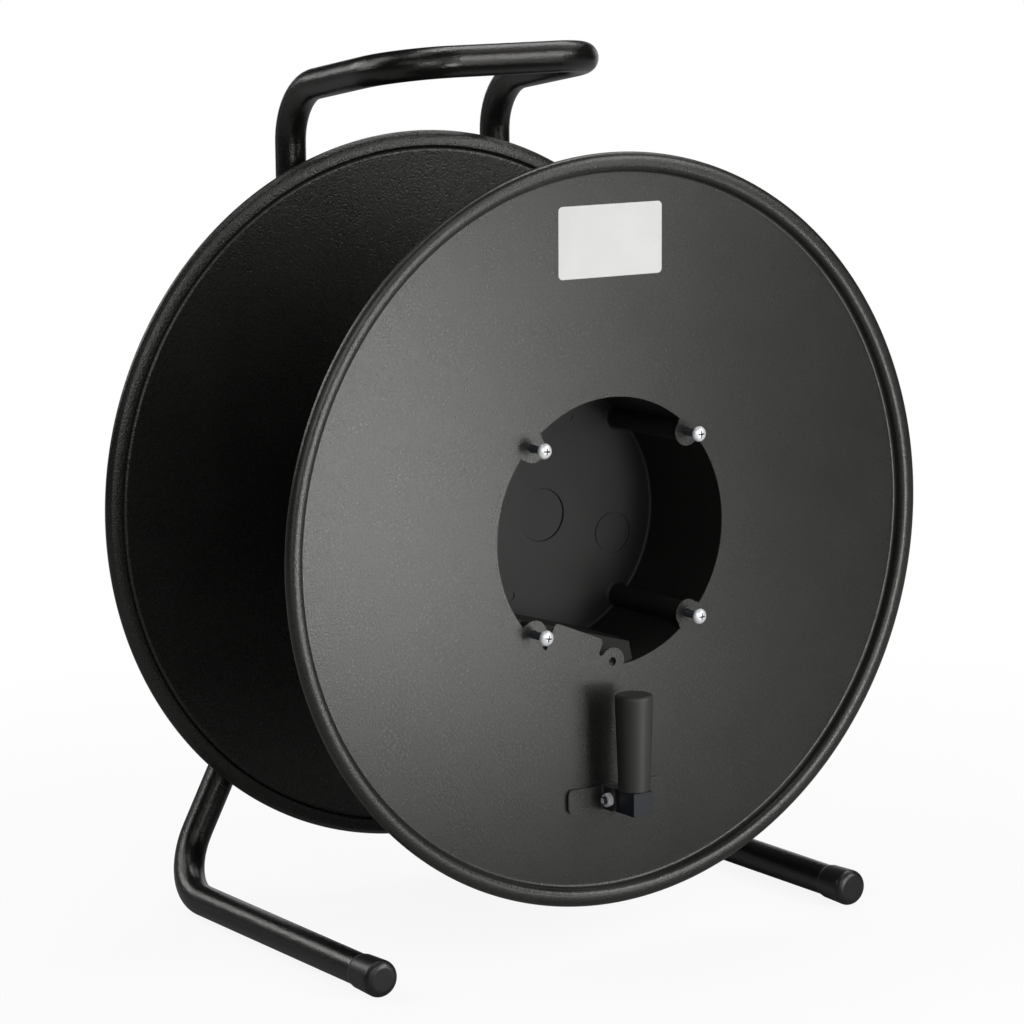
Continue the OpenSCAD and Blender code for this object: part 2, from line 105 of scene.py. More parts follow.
def math_node(tree, operation, a, b):
    """Math on two values, each a socket or a number."""
    node = tree.nodes.new("ShaderNodeMath")
    node.operation = operation
    for socket, value in zip(node.inputs, (a, b)):
        if isinstance(value, (int, float)):
            socket.default_value = value
        else:
            tree.links.new(value, socket)
    return node.outputs["Value"]


def blend(tree, first, share, second):
    """First and second, added in the proportion share to 1 - share."""
    return math_node(tree, "ADD", math_node(tree, "MULTIPLY", first, share),
                     math_node(tree, "MULTIPLY", second, 1 - share))


def two_colours(tree, factor, dark, light):
    """A colour between dark and light."""
    node = tree.nodes.new("ShaderNodeMix")
    node.data_type = "RGBA"
    tree.links.new(factor, node.inputs["Factor"])
    node.inputs["A"].default_value = (*dark, 1)
    node.inputs["B"].default_value = (*light, 1)
    return node.outputs["Result"]


def bump(tree, height, strength, distance):
    """Bump of distance millimetres."""
    node = tree.nodes.new("ShaderNodeBump")
    node.inputs["Strength"].default_value = strength
    node.inputs["Distance"].default_value = distance * MM
    tree.links.new(height, node.inputs["Height"])
    return node.outputs["Normal"]


def plug(tree, shader, colour, roughness, normal):
    """Link a material's three textures to its shader."""
    tree.links.new(colour, shader.inputs["Base Color"])
    tree.links.new(roughness, shader.inputs["Roughness"])
    tree.links.new(normal, shader.inputs["Normal"])


def around(colour, spread):
    """The colour a share darker and a share lighter."""
    return [c * (1 - spread) for c in colour], [min(1, c * (1 + spread)) for c in colour]


# ---------- materials ----------

def powder_coat(name, colour, roughness, grain, depth):
    """Powder coat with a slightly warm sheen: a fine orange-peel relief and faint drifts."""
    material, tree, shader = new_material(name)
    at = object_coords(tree)
    peel = noise(tree, at, grain, detail=1.5, roughness=0.45)
    drift = noise(tree, at, 38, detail=2)
    tone = remap(tree, blend(tree, drift, 0.6, peel), 0.35, 0.65)
    plug(tree, shader, two_colours(tree, tone, *around(colour, 0.15)),
         remap(tree, peel, 0.35, 0.65, roughness - 0.03, roughness + 0.03),
         bump(tree, peel, 1.0, depth))
    shader.inputs["Specular Tint"].default_value = (1, 1, 0.955, 1)
    return material


def moulded(name, colour, roughness, grain=0.5, depth=0.03, specular=0.5):
    """Moulded plastic with a spark-eroded grain and faint flow marks."""
    material, tree, shader = new_material(name)
    fine = noise(tree, object_coords(tree), grain, detail=4, roughness=0.6)
    flow = noise(tree, object_coords(tree, (1, 0.35, 1)), 22, detail=3, distortion=0.6)
    plug(tree, shader, two_colours(tree, remap(tree, flow, 0.3, 0.7), *around(colour, 0.12)),
         remap(tree, fine, 0.3, 0.7, roughness - 0.04, roughness + 0.05),
         bump(tree, fine, 1.0, depth))
    shader.inputs["Specular IOR Level"].default_value = specular
    return material


def metal(name, colour, roughness, brushed=(1, 1, 1), spread=0.1, metallic=1.0):
    """Plated or turned metal: fine marks along the stretched direction, and cloudy patches."""
    material, tree, shader = new_material(name)
    marks = noise(tree, object_coords(tree, brushed), 0.35, detail=5, roughness=0.65)
    cloud = noise(tree, object_coords(tree), 4, detail=3)
    tone = blend(tree, marks, 0.4, cloud)
    plug(tree, shader, two_colours(tree, remap(tree, tone, 0.35, 0.65), *around(colour, spread)),
         remap(tree, tone, 0.3, 0.7, roughness - 0.06, roughness + 0.08),
         bump(tree, marks, 0.6, 0.004))
    shader.inputs["Metallic"].default_value = metallic
    return material


def film(name):
    """White label film, left blank, with a trace of paper-like mottle and a slight sheen."""
    material, tree, shader = new_material(name)
    at = object_coords(tree)
    mottle = noise(tree, at, 1.1, detail=4)
    drift = noise(tree, at, 30, detail=2)
    tone = remap(tree, blend(tree, mottle, 0.5, drift), 0.35, 0.65)
    plug(tree, shader, two_colours(tree, tone, (0.67, 0.67, 0.66), (0.72, 0.72, 0.71)),
         remap(tree, mottle, 0.3, 0.7, 0.42, 0.52),
         bump(tree, mottle, 0.5, 0.012))
    return material


# The CAD's material slots by name, then what only the pieces made here use
MATERIALS = {
    "frame_tube": powder_coat("powder_coat_tube", (0.007, 0.007, 0.0067), 0.22, 1.2, 0.22),
    "frame_plate": powder_coat("powder_coat_plate", (0.012, 0.012, 0.0115), 0.30, 1.3, 0.25),
    "flange_front": powder_coat("powder_coat_front", (0.016, 0.016, 0.0152), 0.30, 1.0, 0.14),
    "flange_back": powder_coat("powder_coat_back", (0.014, 0.014, 0.0132), 0.30, 1.2, 0.28),
    "core": moulded("core_plastic", (0.010, 0.010, 0.0092), 0.55, depth=0.008, specular=0.36),
    "hub": moulded("hub_plastic", (0.03, 0.03, 0.03), 0.5),
    "end_cap": moulded("cap_plastic", (0.010, 0.010, 0.010), 0.34, grain=0.8, depth=0.006),
    "zinc": metal("zinc_plate", (0.91, 0.92, 0.935), 0.34, spread=0.03, metallic=0.45),
    "bare_steel": metal("turned_steel", (0.55, 0.55, 0.56), 0.32, brushed=(3, 0.15, 3)),
    "crank_block": moulded("block_plastic", (0.011, 0.0125, 0.0185), 0.46, grain=0.4,
                           depth=0.008, specular=0.36),
    "grip": moulded("grip_plastic", (0.026, 0.0255, 0.0238), 0.50, grain=0.6, depth=0.010),
    "label": film("label_film"),
    # Dark steel that paints shade on the screws' shanks and recesses, and a shadow ring on the
    # bolt's tip
    "thread": metal("painted_shade_steel", (0.05, 0.054, 0.064), 0.42),
}

for node_name, node in nodes.items():
    node.data.materials.clear()
    node.data.materials.append(MATERIALS[slot_of[node_name]])


# ---------- mesh helpers ----------

def finish(bm, name, body, slot, crease, materials=None):
    """Turn a bmesh, drawn in millimetres, into a piece that rides on a body.

    Edges sharper than crease degrees stay sharp, and faces that look straight along Y are flat.
    """
    bmesh.ops.remove_doubles(bm, verts=bm.verts, dist=WELD)
    bmesh.ops.recalc_face_normals(bm, faces=bm.faces)
    bmesh.ops.scale(bm, vec=(MM, MM, MM), verts=bm.verts)
    mesh = bpy.data.meshes.new(name)
    bm.to_mesh(mesh)
    bm.free()
    mesh.shade_smooth()
    mesh.set_sharp_from_angle(angle=math.radians(crease))
    for polygon in mesh.polygons:
        polygon.use_smooth = abs(polygon.normal.y) < ACROSS_Y
    for material in materials or (slot,):
        mesh.materials.append(MATERIALS[material])
    piece = bpy.data.objects.new(name, mesh)
    bpy.context.collection.objects.link(piece)
    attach(piece, body)
    return piece


def box_mm(node):
    """A node's low and high corners in millimetres."""
    return [[c / MM for c in corner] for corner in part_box(node)]


def around_circle(steps):
    """Angles of a full turn, in radians."""
    return [2 * math.pi * k / steps for k in range(steps)]


def skin(bm, ring, after):
    """Join two rings of as many points with four-sided faces."""
    count = len(ring)
    for k in range(count):
        n = (k + 1) % count
        bm.faces.new((ring[k], ring[n], after[n], after[k]))


def loft(bm, rings):
    """Skin a list of rings of points and cap its ends; a ring of one point is a pole."""
    made = [[bm.verts.new(p) for p in ring] for ring in rings]
    for a, b in zip(made, made[1:]):
        if len(a) == 1:
            for k in range(len(b)):
                bm.faces.new((a[0], b[(k + 1) % len(b)], b[k]))
        elif len(b) == 1:
            for k in range(len(a)):
                bm.faces.new((a[k], a[(k + 1) % len(a)], b[0]))
        else:
            skin(bm, a, b)
    for ring in (made[0], made[-1]):
        if len(ring) > 2:
            bm.faces.new(ring)


def closed_loft(bm, rings):
    """Skin rings and join the last to the first."""
    made = [[bm.verts.new(p) for p in ring] for ring in rings]
    for a, b in zip(made, made[1:] + made[:1]):
        skin(bm, a, b)


def turned(profile, steps):
    """Rings about the Y axis from a profile of (radius, y); a radius of 0 is a pole."""
    turns = around_circle(steps)
    return [[(r * math.cos(t), y, r * math.sin(t)) for t in turns] if r else [(0, y, 0)]
            for r, y in profile]


def cut_by(bm, cutters, operation):
    """Boolean of a closed bmesh with closed cutters.  It uses all of them up."""
    parts = []
    for k, source in enumerate([bm] + cutters):
        bmesh.ops.recalc_face_normals(source, faces=source.faces)
        mesh = bpy.data.meshes.new("work_%d" % k)
        source.to_mesh(mesh)
        source.free()
        part = bpy.data.objects.new("work_%d" % k, mesh)
        bpy.context.collection.objects.link(part)
        parts.append(part)
    for part in parts[1:]:
        modifier = parts[0].modifiers.new("cut", "BOOLEAN")
        modifier.operation = operation
        modifier.solver = "EXACT"
        modifier.object = part
    graph = bpy.context.evaluated_depsgraph_get()
    result = bmesh.new()
    result.from_mesh(parts[0].evaluated_get(graph).to_mesh())
    for part in parts:
        mesh = part.data
        bpy.data.objects.remove(part)
        bpy.data.meshes.remove(mesh)
    return result


def slab_of(outline, low, high, place):
    """Closed prism: place turns (u, v, w) into a point, w from low to high."""
    bm = bmesh.new()
    loft(bm, [[place(u, v, w) for u, v in outline] for w in (low, high)])
    return bm


def facing_front(u, v, w):
    """A point u across, v up and w deep, for outlines seen from the front."""
    return u, w, v


def rounded(u0, v0, u1, v1, radii):
    """Outline of a rectangle whose corners have the given radii, from (u0, v0) anticlockwise."""
    steps = 8
    outline = []
    corners = ((u0, v0, 180), (u1, v0, 270), (u1, v1, 0), (u0, v1, 90))
    for (u, v, start), r in zip(corners, radii):
        if r == 0:
            outline.append((u, v))
            continue
        cu = u + r if u == u0 else u - r
        cv = v + r if v == v0 else v - r
        for k in range(steps + 1):
            t = math.radians(start + 90 * k / steps)
            outline.append((cu + r * math.cos(t), cv + r * math.sin(t)))
    return outline


def tilt_about_y(bm, degrees):
    """Turn a bmesh in the front view, about the origin."""
    bmesh.ops.rotate(bm, verts=bm.verts, cent=(0, 0, 0),
                     matrix=Matrix.Rotation(math.radians(degrees), 3, "Y"))


# ---------- screws, bolt and nut ----------

# M5 thread: outside radius of the shank, pitch, and points round it
SHANK_R = 2.48
PITCH = 0.8
THREAD_STEPS = 28
# Height of a screw's pan head
HEAD_H = 3.7
# How far an end face made here lies inside the CAD node's
INSIDE = 0.02


def thread_rings(depth, y0, y1):
    """Rings of a threaded shank about the Y axis, with the thread faded out at both ends."""
    rings_per_pitch = 6
    count = int((y1 - y0) / PITCH * rings_per_pitch)
    rings = []
    for i in range(count + 1):
        y = y0 + (y1 - y0) * i / count
        fade = min(1, (y - y0) / PITCH, (y1 - y) / PITCH)
        ring = []
        for k, t in enumerate(around_circle(THREAD_STEPS)):
            phase = (y / PITCH - k / THREAD_STEPS) % 1
            r = SHANK_R - depth * (1 - abs(2 * phase - 1)) * fade
            ring.append((r * math.cos(t), y, r * math.sin(t)))
        rings.append(ring)
    return rings


def cross_recess(face_y):
    """Cutters for the two arms of a cross recess, which narrows as it goes in from face_y."""
    # Depth below the face, half the length and half the width of an arm
    sections = ((-1, 2.8, 0.50), (1.3, 1.9, 0.42), (2.5, 0.7, 0.4))
    cutters = []
    for turn in (0, 90):
        c, s = math.cos(math.radians(turn)), math.sin(math.radians(turn))
        rings = []
        for depth, a, b in sections:
            corners = ((-a, -b), (a, -b), (a, b), (-a, b))
            rings.append([(u * c - v * s, face_y + depth, u * s + v * c) for u, v in corners])
        cutter = bmesh.new()
        loft(cutter, rings)
        cutters.append(cutter)
    return cutters


def pan_head(radius, face_y):
    """Profile of a pan head, from the middle of its dome round to the middle of its seat."""
    side_h = 0.9
    # 1 would make the dome end at a right angle to the face
    roundness = 0.97
    steps = 12
    top = face_y + INSIDE
    neck = face_y + HEAD_H
    profile = [(0, top)]
    for k in range(1, steps + 1):
        r = radius * math.sin(k / steps * math.pi / 2)
        fall = 1 - math.sqrt(1 - (r / radius) ** 2 * roundness)
        profile.append((r, top + (HEAD_H - side_h) * fall / (1 - math.sqrt(1 - roundness))))
    return profile + [(radius, neck - 0.45), (radius - 0.12, neck - 0.12),
                      (radius - 0.35, neck), (0, neck)]


def panel_screw(node, roll):
    """Pan-head screw with a cross recess and a thread, in place of its CAD node."""
    low, high = box_mm(node)
    neck = low[1] + HEAD_H
    # The shank starts inside the head, and its point is a short cone
    root = neck - 0.3
    point_h, point_taper, thread_depth = 0.6, 0.7, 0.42
    tip = high[1]
    bm = bmesh.new()
    loft(bm, turned(pan_head((high[0] - low[0]) / 2, low[1]), 56))
    bm = cut_by(bm, cross_recess(low[1]), "DIFFERENCE")
    end = turned([(SHANK_R - point_taper, tip - INSIDE), (0, tip - INSIDE)], THREAD_STEPS)
    loft(bm, [[(0, root, 0)]] + thread_rings(thread_depth, root, tip - point_h) + end)
    # The shank and the inside of the recess are dark steel, painted shade; the rest of the head
    # is bright
    for face in bm.faces:
        centre = face.calc_center_median()
        in_recess = math.hypot(centre.x, centre.z) < 2.7 and (
            centre.y > low[1] + 0.5 or abs(face.normal.y) < 0.6)
        face.material_index = 1 if centre.y > neck - 0.25 or in_recess else 0
    tilt_about_y(bm, roll)
    piece = finish(bm, node + "_detailed", "drum", "zinc", 30, ("zinc", "thread"))
    piece.location = ((low[0] + high[0]) / 2 * MM, 0, (low[2] + high[2]) / 2 * MM)
    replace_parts(piece, node)


def hexagon_rings(flats, x0, x1, bore):
    """Rings of a chamfered hexagon about the X axis, from x0 round its outside to x1.

    It has a hole of radius bore with a small chamfer at each end, or none where bore is 0.
    """
    steps = 72
    mouth = 0.35
    face_r = flats / 2 * 0.97
    slope = 0.55

    def ring(kind, x):
        inward = 1 if x == x0 else -1
        points = []
        for t in around_circle(steps):
            edge = flats / 2 / math.cos((t + math.pi / 6) % (math.pi / 3) - math.pi / 6)
            face = min(face_r, edge)
            r = {"bore": bore, "mouth": bore + mouth, "face": face, "edge": edge}[kind]
            drop = {"bore": mouth, "edge": (edge - face) * slope}.get(kind, 0)
            points.append((x + inward * drop, r * math.cos(t), r * math.sin(t)))
        return points

    outside = [ring("face", x0), ring("edge", x0), ring("edge", x1), ring("face", x1)]
    if not bore:
        return [[(x0, 0, 0)]] + outside + [[(x1, 0, 0)]]
    return ([ring("bore", x0), ring("mouth", x0)] + outside
            + [ring("mouth", x1), ring("bore", x1)])


def pivot_fixing():
    """Hexagon bolt and nut of the crank's pivot, with a thread and chamfers."""
    bolt_low, bolt_high = box_mm("pivot_bolt")
    nut_low, nut_high = box_mm("pivot_nut")
    centre = Vector((0, (nut_low[1] + nut_high[1]) / 2, (nut_low[2] + nut_high[2]) / 2))
    flats, head_h, thread_depth, clearance = 7.95, 3.5, 0.4, 0.02
    neck = bolt_high[0] - head_h
    bm = bmesh.new()
    loft(bm, hexagon_rings(flats, neck, bolt_high[0], 0))
    # The shank is drawn about Y, then turned to X
    tip = bolt_low[0] + INSIDE
    rings = turned([(0, tip), (SHANK_R - 0.55, tip)], THREAD_STEPS)
    rings += thread_rings(thread_depth, bolt_low[0] + 0.5, nut_high[0] + 1.5)
    rings += turned([(SHANK_R, nut_high[0] + 1.6), (SHANK_R, neck + 0.3), (0, neck + 0.3)],
                    THREAD_STEPS)
    loft(bm, [[(y, x, z) for x, y, z in ring] for ring in rings])
    # The thread at the tip is dark steel, a painted shadow ring; its end face is bright
    bm.normal_update()
    for face in bm.faces:
        at_tip = face.calc_center_median().x < nut_high[0]
        face.material_index = 1 if at_tip and abs(face.normal.x) < 0.95 else 0
    bmesh.ops.translate(bm, vec=centre, verts=bm.verts)
    bolt = finish(bm, "pivot_bolt_detailed", "drum", "zinc", 30, ("zinc", "thread"))
    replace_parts(bolt, "pivot_bolt")
    bm = bmesh.new()
    closed_loft(bm, hexagon_rings(flats, nut_low[0], nut_high[0], SHANK_R + clearance))
    bmesh.ops.translate(bm, vec=centre, verts=bm.verts)
    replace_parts(finish(bm, "pivot_nut_detailed", "drum", "zinc", 30), "pivot_nut")


# ---------- bracket, label and welds ----------

def crank_bracket():
    """Bracket with rounded corners and bent lugs, in place of its plain CAD node."""
    low, high = box_mm("crank_bracket")
    block_high = box_mm("crank_block")[1]
    plate_t, lug_t, gap = 2.5, 2, 0.1
    bend_r, ear_r, lug_r = 1.6, 3.6, 4
    plate_front = high[1] - plate_t
    lug_in = block_high[0] + gap
    lug_out = lug_in + lug_t
    # How far the cutters reach past the bracket
    past = 5

    def bend(cx, start):
        """Concave root of a lug, seen from above."""
        turns = [math.radians(start - 90 * k / 6) for k in range(7)]
        return [(cx + bend_r * math.cos(t), plate_front - bend_r + bend_r * math.sin(t))
                for t in turns]

    outline = [(low[0], high[1]), (low[0], plate_front)]
    outline += bend(-lug_out - bend_r, 90)
    outline += [(-lug_out, low[1]), (-lug_in, low[1]), (-lug_in, plate_front),
                (lug_in, plate_front), (lug_in, low[1]), (lug_out, low[1])]
    outline += bend(lug_out + bend_r, 180)
    outline += [(high[0], plate_front), (high[0], high[1])]
    bm = slab_of(outline, low[2], high[2], lambda u, v, w: (u, v, w))
    ears = slab_of(rounded(low[0], low[2], high[0], high[2], [ear_r] * 4),
                   low[1] - past, high[1] + past, facing_front)
    lugs = slab_of(rounded(low[1], low[2], high[1] + 9, high[2], (lug_r, 0, 0, lug_r)),
                   low[0] - past, high[0] + past, lambda u, v, w: (w, u, v))
    bm = cut_by(bm, [ears, lugs], "INTERSECT")
    # Clear the slivers that the cut leaves, so that the bevel stays closed
    bmesh.ops.remove_doubles(bm, verts=bm.verts, dist=0.01)
    bmesh.ops.dissolve_limit(bm, angle_limit=math.radians(0.5), verts=bm.verts, edges=bm.edges)
    piece = finish(bm, "crank_bracket_detailed", "drum", "flange_front", 25)
    modifier = piece.modifiers.new("bevel", "BEVEL")
    modifier.width = 0.22 * MM
    modifier.segments = 2
    modifier.limit_method = "ANGLE"
    modifier.angle_limit = math.radians(40)
    modifier.harden_normals = True
    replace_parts(piece, "crank_bracket")


def label():
    """Blank data label: a thin film with rounded corners, tilted a little."""
    half_w, half_h, corner_r = 39.5, 22.9, 3
    thickness, sunk, tilt = 0.14, 0.02, 0.4
    centre_x, centre_z = 0.6, 459.1
    face = box_mm("crank_bracket")[1][1]
    bm = slab_of(rounded(-half_w, -half_h, half_w, half_h, [corner_r] * 4),
                 face - thickness, face + sunk, facing_front)
    tilt_about_y(bm, tilt)
    piece = finish(bm, "label_film", "drum", "flange_front", 35, ("label",))
    piece.location = (centre_x * MM, 0, centre_z * MM)


def bead(bm, path, outward, r, closed=False):
    """Rippled weld bead along a path; outward gives the direction off the joint at each point."""
    last = len(path) - 1
    fade_in = 8
    rings = []
    for k, (point, out) in enumerate(zip(path, outward)):
        if closed:
            ahead = Vector(path[(k + 1) % len(path)]) - Vector(path[k - 1])
            fade = 1
        else:
            ahead = Vector(path[min(k + 1, last)]) - Vector(path[max(k - 1, 0)])
            fade = min(1, 0.5 + k / fade_in, 0.5 + (last - k) / fade_in)
        across = ahead.normalized().cross(Vector(out))
        swell = r * (0.90 + 0.10 * abs(math.sin(k * math.pi / 6))) * fade
        rings.append([Vector(point) + swell * (math.cos(t) * Vector(out) + math.sin(t) * across)
                      for t in around_circle(12)])
    (closed_loft if closed else loft)(bm, rings)


def welds():
    """Beads that join the cross member to the uprights, and the axle to the cross member."""
    web_low, web_high = box_mm("cross_member")
    axle_low, axle_high = box_mm("axle")
    upright_x, tube_d = 81.5, 20.8
    # The cross member's rear face touches the front of the tubes
    back = box_mm("frame_tube")[1][1] - tube_d
    centre_z = (web_low[2] + web_high[2]) / 2
    # Two beads up each upright, this far off the line where it touches
    off_line, length, steps = 5.0, 58, 216
    bm = bmesh.new()
    for x in (-upright_x, upright_x):
        for side in (-1, 1):
            path = [(x + side * off_line, back + 0.5, centre_z - length / 2 + length * k / steps)
                    for k in range(steps + 1)]
            bead(bm, path, [(side, 0, 0)] * len(path), 1.7)
    # One round the axle
    radius = (axle_high[0] - axle_low[0]) / 2 + 0.4
    outward = [(math.cos(t), 0, math.sin(t)) for t in around_circle(240)]
    path = [(radius * x, back + 0.2, centre_z + radius * z) for x, _, z in outward]
    bead(bm, path, outward, 1.9, closed=True)
    finish(bm, "weld_beads", "frame", "frame_plate", 60)


# ---------- rolled rims of the flanges ----------

# Half the height of a rim's section
RIM_HALF_H = 4.6
# Thickness of a flange's sheet, and depth of its outer face behind the middle of the rim
SHEET = 1.2
OFFSET = 3.1


def rim_outline(radius, join):
    """Section of a flange's rolled rim as (radius, depth) points.

    Depth runs from the middle of the rim to the cable side; join is where the flat takes over.
    """
    half_w, squareness = 5.8, 2.35
    fold_r = 2.2
    middle = radius - half_w
    fold_at = radius - 2 * half_w - fold_r
    fold_depth = OFFSET - fold_r
    lip, lip_depth = fold_at + fold_r + SHEET + 0.4, 4.7
    turn, turn_depth = radius - 2.9, 3.1
    slope = (lip_depth - turn_depth) / (turn - lip)
    quarter = [k / 12 * math.pi / 2 for k in range(13)]
    # Outer face of the flat and of the fold, then the roll, a superellipse
    outline = [(join, OFFSET)]
    outline += [(fold_at + fold_r * math.sin(t), fold_depth + fold_r * math.cos(t))
                for t in quarter]
    for k in range(33):
        t = math.pi * (1 - k / 32)
        c, s = math.cos(t), math.sin(t)
        outline.append((middle + half_w * math.copysign(abs(c) ** (2 / squareness), c),
                        -RIM_HALF_H * abs(s) ** (2 / squareness)))
    # Edge of the roll, the face that slopes in to the lip, and the gap between lip and fold
    outline += [(radius - 0.2, 0.6), (radius - 0.5, 1.1), (turn + 0.6, turn_depth - 0.5),
                (turn + 0.3, turn_depth - 0.2), (turn, turn_depth)]
    outline += [(lip + 0.5, lip_depth - 0.5 * slope), (lip + 0.15, lip_depth - 0.15),
                (lip, lip_depth - 0.5), (lip, fold_depth + 0.5), (lip - 0.4, fold_depth + 0.5)]
    # Cable side of the fold and of the flat
    outer_r = fold_r + SHEET
    outline += [(fold_at + outer_r * math.sin(t), fold_depth + outer_r * math.cos(t))
                for t in reversed(quarter) if outer_r * math.cos(t) > 0.5]
    outline.append((join, OFFSET + SHEET))
    return outline


def guard_bridge(y0, y1, screw_circle):
    """Sheet that joins the guard's end to the lower tab, and rounds the notch between them."""
    # Directions along the guard's radius and across it, from the drum's axis in the front view
    angle = math.radians(-112.4)
    along = Vector((math.cos(angle), math.sin(angle)))
    across = Vector((-along.y, along.x))
    guard_half, tab_r, notch_r = 20, 9.2, 1.6
    tab_at = Vector((0, -screw_circle))
    tab_u, tab_v = tab_at.dot(along), tab_at.dot(across)
    notch_v = guard_half + notch_r
    notch_u = tab_u - math.sqrt((tab_r + notch_r) ** 2 - (tab_v - notch_v) ** 2)
    end = math.atan2(tab_u - notch_u, tab_v - notch_v)
    # Bottom of the notch; the rest of the outline lies within the guard, the tab and the rim
    outline = [(notch_u, guard_half - 3)]
    for k in range(13):
        t = math.pi + (end - math.pi) * k / 12
        outline.append((notch_u + notch_r * math.sin(t), notch_v + notch_r * math.cos(t)))
    outline += [(tab_u - 2, tab_v - 6), (tab_u + 10, tab_v - 6), (tab_u + 10, guard_half - 3)]
    return slab_of([tuple(u * along + v * across) for u, v in outline], y0, y1, facing_front)


def rolled_rim(node, side):
    """A flange with its rolled rim drawn in full, in place of its CAD node.

    Side is 1 where the cable lies on the flange's +Y side, and -1 where it lies on the other.
    """
    low, high = box_mm(node)
    # Inset so that the visual's box stays inside the CAD's
    inset, rim_band, steps = 0.05, 17, 360
    radius = (high[0] - low[0]) / 2 - inset
    join = radius - rim_band
    middle = low[1] + RIM_HALF_H if side > 0 else high[1] - RIM_HALF_H
    axis = (low[2] + high[2]) / 2
    # The CAD's flange without its rim, centred on the drum's axis
    disc = bmesh.new()
    disc.from_mesh(nodes[node].data)
    bmesh.ops.scale(disc, vec=(1 / MM, 1 / MM, 1 / MM), verts=disc.verts)
    bmesh.ops.translate(disc, vec=(0, 0, -axis), verts=disc.verts)
    bmesh.ops.remove_doubles(disc, verts=disc.verts, dist=WELD)
    keep = bmesh.new()
    loft(keep, turned([(0, low[1] - 1), (join + 1, low[1] - 1),
                       (join + 1, high[1] + 1), (0, high[1] + 1)], steps))
    disc = cut_by(disc, [keep], "INTERSECT")
    ring = bmesh.new()
    closed_loft(ring, turned([(r, middle + side * d) for r, d in rim_outline(radius, join)],
                             steps))
    bm = cut_by(disc, [ring], "UNION")
    if node == "front_flange":
        screw_low, screw_high = box_mm("screw_top_right")
        screw_circle = math.hypot((screw_low[0] + screw_high[0]) / 2,
                                  (screw_low[2] + screw_high[2]) / 2 - axis)
        bridge = guard_bridge(middle + OFFSET, middle + OFFSET + SHEET, screw_circle)
        bm = cut_by(bm, [bridge], "UNION")
    bmesh.ops.translate(bm, vec=(0, 0, axis), verts=bm.verts)
    piece = finish(bm, node + "_rolled", "drum", slot_of[node], 35)
    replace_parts(piece, node)


SCREW_ROLLS = {"screw_top_left": 4, "screw_top_right": -3,
               "screw_bottom_left": 9, "screw_bottom_right": 2}
for screw, roll in SCREW_ROLLS.items():
    panel_screw(screw, roll)
rolled_rim("front_flange", 1)
rolled_rim("back_flange", -1)
pivot_fixing()
crank_bracket()
label()
welds()


# ---------- stage, light and camera ----------

def mixed(tree, factor, first, second, output):
    """Link two shaders, mixed by a factor, to an output node."""
    mix = tree.nodes.new("ShaderNodeMixShader")
    tree.links.new(factor, mix.inputs["Fac"])
    tree.links.new(first, mix.inputs[1])
    tree.links.new(second, mix.inputs[2])
    tree.links.new(mix.outputs["Shader"], output.inputs["Surface"])


def seen_by_camera(tree):
    """1 for the camera's own rays, 0 for all others."""
    return tree.nodes.new("ShaderNodeLightPath").outputs["Is Camera Ray"]


def floor_material():
    """Pale floor that runs out into white for the camera, and keeps the shadow near the reel."""
    material = bpy.data.materials.new("floor_paper")
    material.use_nodes = True
    tree = material.node_tree
    tree.nodes.clear()
    output = tree.nodes.new("ShaderNodeOutputMaterial")
    coords = tree.nodes.new("ShaderNodeTexCoord")
    distance = tree.nodes.new("ShaderNodeVectorMath")
    distance.operation = "LENGTH"
    tree.links.new(coords.outputs["Object"], distance.inputs[0])
    white = remap(tree, distance.outputs["Value"], 0.30, 0.95, 0.90, 1.0)
    seen = seen_by_camera(tree)
    diffuse = tree.nodes.new("ShaderNodeBsdfDiffuse")
    tree.links.new(two_colours(tree, seen, (0.35, 0.35, 0.35), (0.8, 0.8, 0.8)),
                   diffuse.inputs["Color"])
    glow = tree.nodes.new("ShaderNodeEmission")
    mixed(tree, math_node(tree, "MULTIPLY", white, seen),
          diffuse.outputs["BSDF"], glow.outputs["Emission"], output)
    return material


def make_floor():
    """A square floor, half a millimetre below the reel's feet."""
    size = 30
    corners = [(-size, -size, 0), (size, -size, 0), (size, size, 0), (-size, size, 0)]
    mesh = bpy.data.meshes.new("floor")
    mesh.from_pydata(corners, [], [(0, 1, 2, 3)])
    floor = bpy.data.objects.new("floor", mesh)
    floor.location.z = -0.0005
    floor.data.materials.append(floor_material())
    bpy.context.collection.objects.link(floor)


def background(tree, strength):
    """A white background of a given strength."""
    node = tree.nodes.new("ShaderNodeBackground")
    node.inputs["Color"].default_value = (1, 1, 1, 1)
    node.inputs["Strength"].default_value = strength
    return node.outputs["Background"]


def make_world():
    """White to the camera, and almost dark to everything else."""
    world = bpy.data.worlds.new("studio")
    bpy.context.scene.world = world
    world.use_nodes = True
    tree = world.node_tree
    tree.nodes.clear()
    output = tree.nodes.new("ShaderNodeOutputWorld")
    mixed(tree, seen_by_camera(tree), background(tree, 0.015), background(tree, 1.0), output)


def softbox(name, azimuth, elevation, distance, spread, height, radiance, centre_z=0.27):
    """Softbox that spans spread degrees, seen from the point at centre_z that it faces.

    Its azimuth runs from the front (-Y) towards +X.
    """
    a, e = math.radians(azimuth), math.radians(elevation)
    out = Vector((math.sin(a) * math.cos(e), -math.cos(a) * math.cos(e), math.sin(e)))
    light = bpy.data.lights.new(name, "AREA")
    light.shape = "RECTANGLE"
    light.size = 2 * distance * math.tan(math.radians(spread / 2)) * math.cos(e)
    light.size_y = height
    light.energy = math.pi * light.size * light.size_y * radiance
    lamp = bpy.data.objects.new(name, light)
    lamp.location = Vector((0, 0, centre_z)) + distance * out
    lamp.rotation_euler = out.to_track_quat("Z", "Y").to_euler()
    lamp.visible_camera = False
    bpy.context.collection.objects.link(lamp)


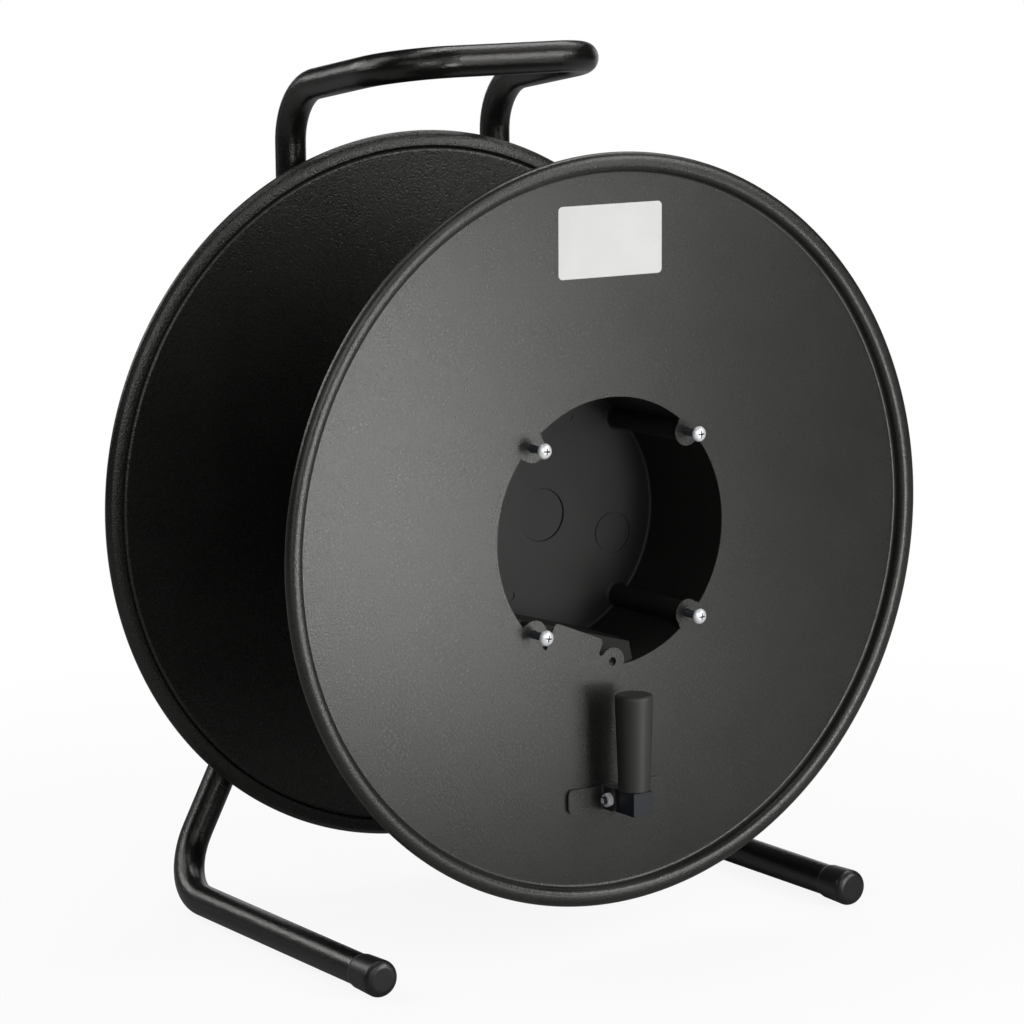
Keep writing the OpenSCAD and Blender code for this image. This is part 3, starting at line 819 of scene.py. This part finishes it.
def make_lights():
    """Softboxes close by shade the front flange, those farther off edge the tubes and rims."""
    near, mid, far = 0.95, 1.30, 2.6
    strip, tall = 0.14, 0.42
    low, band = 0.92, 1.01
    softbox("key", 15, 0, near, 10, tall, 11.6, 0.20)
    softbox("key_foot", 5, 0, near, 10, strip, 3.1, 0.06)
    softbox("key_edge_low", 25, 0, near, 10, strip, 5.7, 0.06)
    softbox("key_edge_high", 25, 0, near, 10, strip, 4.1, 0.34)
    softbox("upper_left", -16, 0, mid, 16, 0.46, 3.5, 0.70)
    softbox("upper_right", 32, 0, mid, 16, 0.46, 3.4, 0.70)
    softbox("by_camera", -25, 5, far, 16, low, 1.73)
    softbox("right_high", 40, 27, far, 20, band, 5.2)
    softbox("right_side", 75, 51, far, 40, band, 0.96)
    softbox("right_back", 120, 51, far, 40, band, 2.6)
    softbox("left_back_high", -120, 51, far, 40, band, 2.25)
    softbox("top_left", -60, 75, far, 60, band, 2.1)
    softbox("top_right", 120, 75, far, 60, band, 5.2)
    for azimuth in (-50, -25, 0, 20):
        softbox("front_high", azimuth, 27, far, 20, band, 0.86)
    for azimuth in (-150, -120):
        softbox("left_back", azimuth, 27, far, 20, band, 4.5)
    for azimuth in (130, 160):
        softbox("back_low", azimuth, 5, far, 28, low, 0.77)
    softbox("back_left_low", -150, 5, far, 30, low, 0.2)


def make_camera():
    """Camera fitted to the photo."""
    azimuth, elevation, roll = (math.radians(v) for v in (-33.311, 9.830, -0.626))
    place = Vector((-1.43863, -2.189105, 0.72344))
    sensor_mm, focal_px, photo_px = 36, 4022.85, 1024
    back = Vector((math.sin(azimuth) * math.cos(elevation),
                   -math.cos(azimuth) * math.cos(elevation), math.sin(elevation)))
    level = Vector((math.cos(azimuth), math.sin(azimuth), 0))
    over = back.cross(level)
    right = math.cos(roll) * level + math.sin(roll) * over
    up = math.cos(roll) * over - math.sin(roll) * level
    data = bpy.data.cameras.new("camera")
    data.sensor_width = sensor_mm
    data.lens = sensor_mm * focal_px / photo_px
    data.clip_start = 0.1
    data.clip_end = 100
    camera = bpy.data.objects.new("camera", data)
    turn = Matrix((right, up, back)).transposed().to_4x4()
    camera.matrix_world = Matrix.Translation(place) @ turn
    bpy.context.collection.objects.link(camera)
    bpy.context.scene.camera = camera


make_floor()
make_world()
make_lights()
make_camera()
bpy.context.scene.view_settings.view_transform = "Standard"
